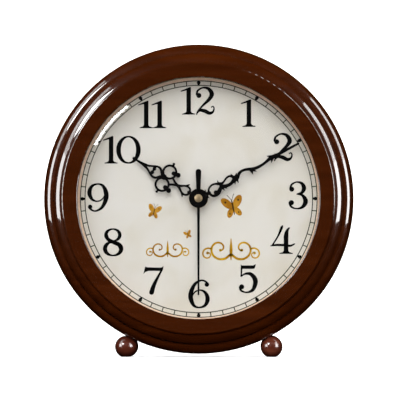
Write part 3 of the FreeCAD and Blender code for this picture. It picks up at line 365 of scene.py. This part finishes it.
class Print:
    """A thin printed figure on the dial, drawn in millimetres and moved to its place."""

    def __init__(self, name, x=0.0, z=0.0, scale=1.0, turn=0.0, bold=0.0):
        self.name = name
        self.mesh = bmesh.new()
        self.place = (x, z, scale, math.radians(turn))
        self.bold = bold

    def vertex(self, x, z, lift):
        px, pz, scale, turn = self.place
        sine, cosine = math.sin(turn), math.cos(turn)
        wx = px + scale * (x * cosine + z * sine)
        wz = pz + scale * (z * cosine - x * sine)
        return self.mesh.verts.new((AXIS_X + wx * MM, DIAL_Y - lift * MM, AXIS_Z + wz * MM))

    def prism(self, outline):
        """A flat plate with the given (x, z) outline."""
        front = [self.vertex(x, z, PRINT_T) for x, z in outline]
        back = [self.vertex(x, z, -PRINT_SUNK) for x, z in outline]
        self.mesh.faces.new(front)
        self.mesh.faces.new(back[::-1])
        for k in range(len(outline)):
            self.mesh.faces.new((front[k - 1], back[k - 1], back[k], front[k]))

    def strip(self, left, right, closed=False):
        """A plate between two rows of points."""
        rows = [[[self.vertex(x, z, lift) for x, z in side] for side in (left, right)]
                for lift in (PRINT_T, -PRINT_SUNK)]
        (fl, fr), (bl, br) = rows
        first = 0 if closed else 1
        for k in range(first, len(left)):
            self.mesh.faces.new((fl[k - 1], fl[k], fr[k], fr[k - 1]))
            self.mesh.faces.new((bl[k], bl[k - 1], br[k - 1], br[k]))
            self.mesh.faces.new((fl[k], fl[k - 1], bl[k - 1], bl[k]))
            self.mesh.faces.new((fr[k - 1], fr[k], br[k], br[k - 1]))
        if not closed:
            self.mesh.faces.new((fl[0], fr[0], br[0], bl[0]))
            self.mesh.faces.new((fl[-1], bl[-1], br[-1], fr[-1]))

    def stroke(self, nodes, ends=True):
        """A pen stroke of changing width through (x, z, width) nodes."""
        line = smooth_line(nodes)
        left, right = [], []
        for k, here in enumerate(line):
            ahead = line[min(k + 1, len(line) - 1)] - line[max(k - 1, 0)]
            across = Vector((-ahead[1], ahead[0])).normalized() * ((here[2] + self.bold) / 2)
            left.append((here[0] + across[0], here[1] + across[1]))
            right.append((here[0] - across[0], here[1] - across[1]))
        self.strip(left, right)
        if ends:
            for x, z, width in (nodes[0], nodes[-1]):
                self.dot(x, z, (width + self.bold) / 2, 12)

    def dot(self, x, z, radius, sides=24):
        angles = [2 * math.pi * k / sides for k in range(sides)]
        self.prism([(x + radius * math.cos(a), z + radius * math.sin(a)) for a in angles])

    def loop(self, x, z, half_x, half_z, side_width, top_width, sides=48):
        """An oval ring that is thick at its sides and fine at top and bottom."""
        left, right = [], []
        for k in range(sides):
            angle = 2 * math.pi * k / sides
            share = abs(math.cos(angle)) ** 1.5
            half = (top_width + (side_width - top_width) * share + self.bold) / 2
            for row, shift in ((left, half), (right, -half)):
                row.append((x + (half_x + shift) * math.cos(angle), z + (half_z + shift) * math.sin(angle)))
        self.strip(left, right, closed=True)

    def finish(self, material):
        bmesh.ops.recalc_face_normals(self.mesh, faces=self.mesh.faces)
        data = bpy.data.meshes.new(self.name)
        self.mesh.to_mesh(data)
        self.mesh.free()
        data.materials.append(material)
        piece = bpy.data.objects.new(self.name, data)
        bpy.context.scene.collection.objects.link(piece)
        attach(piece, "case")


# ---------------------------------------------------------------- numerals

def serif_foot(pen, x, half_width):
    """A hairline serif with small brackets under a stem."""
    pen.prism([(x - half_width, -9.7), (x + half_width, -9.7), (x + half_width, -9.1), (x + 2.4, -8.5),
               (x + 1.6, -7.4), (x - 1.6, -7.4), (x - 2.4, -8.5), (x - half_width, -9.1)])


def digit_0(pen):
    pen.loop(0, 0, 7.0, 9.3, 3.2, 1.0)


def digit_1(pen):
    pen.prism([(-1.6, -9.5), (1.6, -9.5), (1.6, 9.7), (0.8, 9.7), (-1.6, 8.3)])
    pen.stroke([(-5.3, 6.9, 0.7), (-3.4, 7.5, 0.9), (-1.0, 8.3, 1.3), (0.9, 9.2, 1.1)])
    serif_foot(pen, 0, 4.6)


def digit_2(pen):
    pen.stroke([(-5.8, 4.4, 1.6), (-5.2, 7.1, 1.3), (-1.6, 9.2, 1.1), (2.4, 8.4, 2.2), (4.7, 4.7, 3.1),
                (2.7, 0.8, 2.3), (-1.8, -3.6, 1.4), (-5.2, -7.6, 0.9), (-5.9, -9.6, 0.8)])
    pen.stroke([(-5.6, -8.6, 0.9), (-3.6, -6.8, 1.9), (-0.2, -7.3, 2.6), (3.0, -8.8, 2.3), (5.4, -8.0, 1.5),
                (6.3, -5.6, 0.9), (5.6, -4.1, 0.8), (4.4, -4.6, 0.7)])
    pen.dot(-4.4, 3.7, 1.8)


def digit_3(pen):
    pen.stroke([(-5.6, 4.6, 1.5), (-4.6, 7.6, 1.3), (-1.2, 9.3, 1.0), (2.4, 8.4, 2.0), (4.0, 5.2, 3.0),
                (2.6, 2.0, 2.0), (-0.8, 0.8, 0.9)])
    pen.stroke([(-0.8, 0.9, 0.9), (2.8, 0.0, 1.8), (5.1, -4.0, 3.3), (3.2, -8.0, 2.2), (-0.8, -9.4, 1.0),
                (-4.8, -8.2, 1.3), (-6.2, -5.4, 1.4)])
    pen.dot(-4.6, 4.3, 1.75)
    pen.dot(-4.9, -5.2, 1.85)


def digit_4(pen):
    pen.stroke([(-0.2, 10.0, 0.8), (-0.9, 8.4, 1.8), (-3.4, 2.6, 1.1), (-7.4, -3.7, 0.9)])
    pen.stroke([(-8.2, -4.0, 0.8), (-4.4, -3.5, 1.5), (1.6, -3.6, 1.6), (5.4, -4.0, 1.4), (8.2, -2.7, 0.8)])
    pen.stroke([(4.9, 8.8, 0.8), (3.3, 6.9, 1.8), (2.4, 3.4, 3.1), (2.3, -1.0, 3.1), (2.3, -9.0, 3.1)],
               ends=False)
    serif_foot(pen, 2.3, 4.7)


def digit_5(pen):
    pen.prism([(-5.6, 10.2), (-4.6, 9.4), (3.2, 9.4), (5.2, 10.4), (4.4, 7.4), (3.4, 7.0), (-4.4, 7.0),
               (-5.2, 7.6)])
    pen.stroke([(-4.9, 8.0, 1.2), (-5.0, 4.6, 1.0), (-5.2, 1.8, 1.0)])
    pen.stroke([(-5.2, 1.7, 0.8), (-2.4, 3.5, 1.3), (1.6, 3.3, 2.4), (4.8, -1.2, 3.3), (3.2, -7.4, 2.3),
                (-1.2, -9.5, 1.1), (-5.2, -8.2, 1.3), (-6.1, -5.8, 1.4)])
    pen.dot(-4.8, -5.6, 1.75)


def digit_6(pen):
    pen.stroke([(5.9, 6.9, 1.6), (4.0, 8.9, 1.2), (0.8, 9.3, 1.2), (-3.2, 6.6, 2.1), (-5.8, 0.8, 3.1),
                (-5.7, -4.0, 3.1), (-3.5, -8.4, 1.9), (0.2, -9.6, 1.1), (4.2, -8.0, 2.0), (5.9, -3.6, 3.0),
                (4.3, 0.8, 2.0), (0.8, 2.6, 1.0), (-2.8, 1.4, 0.9), (-5.0, -1.6, 0.8)])
    pen.dot(5.4, 6.5, 1.6)


def digit_7(pen):
    pen.prism([(-5.8, 9.8), (-4.2, 9.2), (5.4, 9.0), (7.2, 10.1), (6.6, 7.8), (5.4, 6.7), (-3.6, 6.7),
               (-5.8, 5.8), (-7.1, 4.4), (-6.4, 7.4)])
    pen.stroke([(6.3, 8.2, 1.2), (3.4, 2.8, 1.6), (0.4, -3.2, 2.6), (-1.3, -8.4, 3.3)])


def digit_8(pen):
    pen.loop(-0.2, 5.1, 4.9, 4.2, 2.4, 1.0)
    pen.loop(0.0, -4.5, 5.7, 4.8, 2.9, 1.0)
    pen.stroke([(-4.9, 5.4, 2.2), (-3.6, 2.2, 2.4), (0.0, 0.1, 2.6), (4.0, -1.8, 2.6), (5.6, -4.8, 2.6)],
               ends=False)


def digit_9(pen):
    x, z, scale, turn = pen.place
    pen.place = (x, z, scale, turn + math.pi)
    digit_6(pen)


# The whole set of numerals is set off the hand axis by this much.
NUMERAL_SHIFT = (-0.8, 1.65)
NUMERAL_SCALE = 1.01
NUMERAL_BOLD = 0.12
DIGITS = (digit_0, digit_1, digit_2, digit_3, digit_4, digit_5, digit_6, digit_7, digit_8, digit_9)

# Each numeral: its number and the (digit, x, z) of its figures in millimetres from the hand axis.
NUMERALS = {
    1: [(1, 36.6, 59.3)],
    2: [(2, 60.8, 35.1)],
    3: [(3, 71.6, 0.7)],
    4: [(4, 60.5, -31.1)],
    5: [(5, 36.2, -58.6)],
    6: [(6, 1.2, -69.2)],
    7: [(7, -31.3, -59.7)],
    8: [(8, -60.0, -32.6)],
    9: [(9, -71.0, -0.8)],
    10: [(1, -61.6, 33.3), (0, -49.2, 33.3)],
    11: [(1, -36.6, 58.5), (1, -27.0, 58.5)],
    12: [(1, -6.3, 68.2), (2, 5.4, 68.3)],
}


def numerals(material):
    for number, figures in NUMERALS.items():
        for order, (digit, x, z) in enumerate(figures):
            pen = Print(f"numeral_{number}_{order}", x + NUMERAL_SHIFT[0], z + NUMERAL_SHIFT[1],
                        NUMERAL_SCALE, bold=NUMERAL_BOLD)
            DIGITS[digit](pen)
            pen.finish(material)


RING_OUTER_R = 84.1
RING_INNER_R = 80.9
RING_LINE_W = 0.65
RING_SIDES = 240
# BORDER_OUT and BORDER_W place the peach band outside the ring: a painted reflection of the wood in the
# glass, printed on the dial.
BORDER_OUT = 1.7
BORDER_W = 2.6
TICK_HALF = 0.35
TICK_PAST = 0.3


def chapter_ring(material, reflection_ink):
    """Two fine circles with a tick at every minute and a lozenge at every hour, ringed by a printed peach
    band that is painted reflection of the wood in the glass.
    """
    outer, inner = RING_OUTER_R, RING_INNER_R
    middle = (outer + inner) / 2
    circles = Print("chapter_circles")
    for radius in (outer, inner):
        circles.loop(0, 0, radius, radius, RING_LINE_W, RING_LINE_W, RING_SIDES)
    circles.finish(material)
    # Painted reflection: a peach band on the cream margin where the wood would show reflected in the glass.
    edge = Print("dial_reflection_tint")
    edge.loop(0, 0, outer + BORDER_OUT, outer + BORDER_OUT, BORDER_W, BORDER_W, RING_SIDES)
    edge.finish(reflection_ink)
    ticks = Print("minute_ticks")
    marks = Print("hour_marks")
    for minute in range(60):
        angle = math.radians(6 * minute)
        sine, cosine = math.sin(angle), math.cos(angle)
        low, high = inner - TICK_PAST, outer + TICK_PAST
        pen, corners = ticks, [(-TICK_HALF, low), (TICK_HALF, low), (TICK_HALF, high), (-TICK_HALF, high)]
        if minute % 5 == 0:
            pen = marks
            corners = [(-0.5, -1.7), (0.5, -1.7), (1.35, 0.4), (0.8, 1.6), (-0.8, 1.6), (-1.35, 0.4)]
            corners = [(x, middle + z) for x, z in corners]
        pen.prism([(x * cosine + z * sine, z * cosine - x * sine) for x, z in corners])
    ticks.finish(material)
    marks.finish(ink("mark_print", srgb(4, 4, 4), srgb(12, 12, 12)))


# ---------------------------------------------------------------- ornament

SCROLL_Z = -35.0
SPRAY_REACH = 20.0
CURL_STEPS = 12
OVAL_STEPS = 24
MARK_LIFT = 1.6


def curl(side, x, z, first_r, last_r, start, sweep, width):
    """A volute about (x, z), mirrored by side, that winds in and gets finer towards its eye."""
    nodes = []
    for step in range(CURL_STEPS + 1):
        part = step / CURL_STEPS
        radius = first_r + (last_r - first_r) * part
        angle = math.radians(start + sweep * part)
        nodes.append((side * (x + radius * math.cos(angle)), z + radius * math.sin(angle),
                      width * (1 - 0.5 * part)))
    return nodes


def scroll_spray(name, x, reach, ink):
    """A plain symmetric spray: an upright leaf between two pairs of volutes, reach mm to each side."""
    pen = Print(name, x, SCROLL_Z, reach / SPRAY_REACH, bold=0.25)
    pen.stroke([(0, -8.5, 0.4), (0, -2.0, 2.0), (0, 6.5, 0.3)])
    for side in (-1, 1):
        for nodes in (curl(side, 8.0, -0.5, 8.6, 1.2, 210, 400, 1.5),
                      curl(side, 16.5, -4.5, 4.6, 0.9, 120, -400, 1.0)):
            pen.stroke(nodes)
            pen.dot(nodes[-1][0], nodes[-1][1], 1.0)
    pen.finish(ink)


def oval(x, z, half_wide, half_high, tilt):
    """Points round a tilted ellipse."""
    lean = math.radians(tilt)
    points = []
    for step in range(OVAL_STEPS):
        angle = 2 * math.pi * step / OVAL_STEPS
        u, v = half_wide * math.cos(angle), half_high * math.sin(angle)
        points.append((x + u * math.cos(lean) - v * math.sin(lean),
                       z + u * math.sin(lean) + v * math.cos(lean)))
    return points


def butterfly(name, x, z, scale, turn, inks):
    """A plain butterfly seen from above: four oval wings, a body, two feelers and a spot on each wing."""
    wing_ink, dark_ink = inks
    wings = Print(f"{name}_wings", x, z, scale, turn)
    marks = Print(f"{name}_marks", x, z, scale, turn)
    for side in (-1, 1):
        wings.prism(oval(side * 4.0, 3.4, 2.9, 5.4, -side * 38))
        wings.prism(oval(side * 2.9, -4.0, 2.2, 3.8, side * 30))
        marks.dot(side * 4.9, 4.4, 0.8, 10)
        marks.dot(side * 3.3, -4.6, 0.6, 10)
        marks.stroke([(0, 4.8, 0.35), (side * 1.4, 7.6, 0.35), (side * 2.6, 9.4, 0.5)])
    marks.stroke([(0, -5.8, 0.5), (0, 0, 1.3), (0, 5.4, 0.7)])
    for vertex in marks.mesh.verts:
        if vertex.co.y < DIAL_Y:
            vertex.co.y = DIAL_Y - MARK_LIFT * PRINT_T * MM
    wings.finish(wing_ink)
    marks.finish(dark_ink)


def ornament():
    gold = gold_ink("gold_print", srgb(164, 114, 6), srgb(214, 168, 28))
    amber = gold_ink("amber_print", srgb(168, 110, 22), srgb(206, 150, 46))
    dark = gold_ink("dark_print", srgb(60, 42, 14), srgb(92, 66, 24))
    scroll_spray("scroll_right", 23.0, 20.0, gold)
    scroll_spray("scroll_left", -22.0, 15.0, gold)
    butterfly("butterfly_large", 24.4, -5.9, 0.95, -12.0, (amber, dark))
    butterfly("butterfly_small", -31.7, -9.1, 0.6, 14.0, (amber, dark))
    butterfly("butterfly_tiny", -7.6, -25.4, 0.34, -20.0, (amber, dark))


# ---------------------------------------------------------------- stage, lights and camera

FLOOR_NEAR = -3.0
FLOOR_FAR = 1.2
FLOOR_HALF = 4.0
COVE_R = 0.8
COVE_STEPS = 10
WALL_TOP = 3.0

# The case's radius is this share of the frame's width.
CASE_SHARE = 0.38725
SENSOR_MM = 36.0
CAMERA_DISTANCE = 1.5
CAMERA_AZIMUTH = math.radians(1.2)
CAMERA_ELEVATION = math.radians(-3.0)
SILHOUETTE_DEPTH = 0.014
AIM_BESIDE = 0.001
AIM_BELOW = 0.001

# The glint: tilt of the glass bevel, its place clockwise from 12 and its distance from the hand axis
BEVEL_TILT = math.radians(16.7)
GLINT_AT = math.radians(-51)
GLINT_R = 0.083
GLINT_REACH = 1.4

# Tall lamps at the sides: name, side, watts, lower and upper edge from the hand axis
SIDE_LAMPS = (("left", -1, 22, -0.08, 1.17), ("left_upper", -1, 3, 0.35, 1.17),
              ("right", 1, 22, -0.11, 0.90), ("right_upper", 1, 5, 0.30, 0.90))
SIDE_X = 0.9
SIDE_Y = -0.62
SIDE_WIDTH = 0.62
WORLD_STRENGTH = 0.05


def area_light(name, place, target, size, power, sheen=True, wash=True):
    """A soft box; sheen lets it show in gloss, wash lets it light matt surfaces."""
    lamp = bpy.data.lights.new(name, "AREA")
    lamp.shape = "RECTANGLE"
    lamp.size, lamp.size_y = size
    lamp.energy = power
    piece = bpy.data.objects.new(name, lamp)
    bpy.context.scene.collection.objects.link(piece)
    piece.location = place
    piece.rotation_euler = (Vector(target) - Vector(place)).to_track_quat("-Z", "Y").to_euler()
    piece.visible_camera = False
    piece.visible_glossy = sheen
    piece.visible_diffuse = wash
    piece.visible_transmission = False


def stage():
    """A pale floor that curves up into a back wall."""
    profile = [(FLOOR_NEAR, 0.0), (FLOOR_FAR, 0.0)]
    for step in range(1, COVE_STEPS + 1):
        angle = math.pi / 2 * step / COVE_STEPS
        profile.append((FLOOR_FAR + COVE_R * math.sin(angle), COVE_R - COVE_R * math.cos(angle)))
    profile.append((FLOOR_FAR + COVE_R, WALL_TOP))
    mesh = bmesh.new()
    rows = [[mesh.verts.new((x, y, z)) for y, z in profile] for x in (-FLOOR_HALF, FLOOR_HALF)]
    for k in range(1, len(profile)):
        mesh.faces.new((rows[0][k - 1], rows[1][k - 1], rows[1][k], rows[0][k]))
    data = bpy.data.meshes.new("backdrop")
    mesh.to_mesh(data)
    mesh.free()
    for face in data.polygons:
        face.use_smooth = True
    paint = Paint("backdrop_pale", Roughness=0.9, Specular_IOR_Level=0.1,
                  Emission_Color=(1, 1, 1, 1), Emission_Strength=0.6)
    paint.colour(paint.ramp(paint.noise(3, 2), [(0.0, (0.86, 0.86, 0.86, 1)), (1.0, (0.9, 0.9, 0.9, 1))]))
    data.materials.append(paint.material)
    piece = bpy.data.objects.new("backdrop", data)
    bpy.context.scene.collection.objects.link(piece)
    piece.visible_glossy = False
    piece.visible_diffuse = False
    piece.visible_transmission = False


def eye():
    """Camera target and camera place."""
    target = Vector((AXIS_X + AIM_BESIDE, FRONT_Y + SILHOUETTE_DEPTH, AXIS_Z - AIM_BELOW))
    flat = CAMERA_DISTANCE * math.cos(CAMERA_ELEVATION)
    return target, target + Vector((flat * math.sin(CAMERA_AZIMUTH), -flat * math.cos(CAMERA_AZIMUTH),
                                    CAMERA_DISTANCE * math.sin(CAMERA_ELEVATION)))


def glint_place(reach):
    """Where a lamp shows in the bevelled edge of the glass, found by mirroring the line of sight."""
    radial = Vector((math.sin(GLINT_AT), 0, math.cos(GLINT_AT)))
    spot = Vector((AXIS_X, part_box("glass_lens")[0][1], AXIS_Z)) + radial * GLINT_R
    normal = radial * math.sin(BEVEL_TILT) - Vector((0, math.cos(BEVEL_TILT), 0))
    sight = (spot - eye()[1]).normalized()
    return spot + sight.reflect(normal) * reach


def lights():
    centre = (AXIS_X, 0, AXIS_Z)
    for name, side, power, low, high in SIDE_LAMPS:
        place = (side * SIDE_X, SIDE_Y, AXIS_Z + (low + high) / 2)
        area_light("side_" + name, place, (0, place[1], place[2]), (SIDE_WIDTH, high - low), power,
                   wash=False)
    area_light("glint", glint_place(GLINT_REACH), centre, (0.26, 0.34), 8, wash=False)
    area_light("high_fill", (-0.5, -1.8, 1.9), centre, (2.4, 1.8), 54, sheen=False)
    area_light("front_fill", (0.3, -2.3, 1.0), centre, (1.6, 1.2), 38, sheen=False)
    area_light("floor_wash", (0, 0.6, 2.2), (0, 0.2, 0), (3.0, 2.0), 20, sheen=False)
    area_light("back_wash", (0, 0.9, 2.6), (0, 2.0, 0.4), (3.0, 0.6), 50, sheen=False)
    for name, side in (("back_fill_left", -1), ("back_fill_right", 1)):
        area_light(name, (side * 1.3, 1.5, 0.9), centre, (1.2, 1.0), 26, sheen=False)
    world = bpy.data.worlds.new("studio")
    bpy.context.scene.world = world
    world.use_nodes = True
    background = world.node_tree.nodes["Background"]
    background.inputs["Color"].default_value = (1, 1, 1, 1)
    background.inputs["Strength"].default_value = WORLD_STRENGTH
    world.cycles_visibility.glossy = False
    bpy.context.scene.view_settings.view_transform = "Standard"


def camera():
    """Almost straight on, a little below the hand axis."""
    data = bpy.data.cameras.new("camera")
    piece = bpy.data.objects.new("camera", data)
    bpy.context.scene.collection.objects.link(piece)
    target, piece.location = eye()
    piece.rotation_euler = (target - piece.location).to_track_quat("-Z", "Y").to_euler()
    data.sensor_width = SENSOR_MM
    data.lens = CASE_SHARE * SENSOR_MM * CAMERA_DISTANCE / CASE_R
    data.clip_start = 0.01
    bpy.context.scene.camera = piece


dress_nodes()
numerals(ink("black_print", srgb(4, 4, 4), srgb(12, 12, 12)))
# The peach ink of the band round the ring is painted reflection of the wood.
chapter_ring(ink("ring_print", srgb(38, 42, 30), srgb(72, 76, 58)),
             ink("reflection_tint_print", srgb(238, 208, 184), srgb(250, 226, 206)))
ornament()
stage()
lights()
camera()
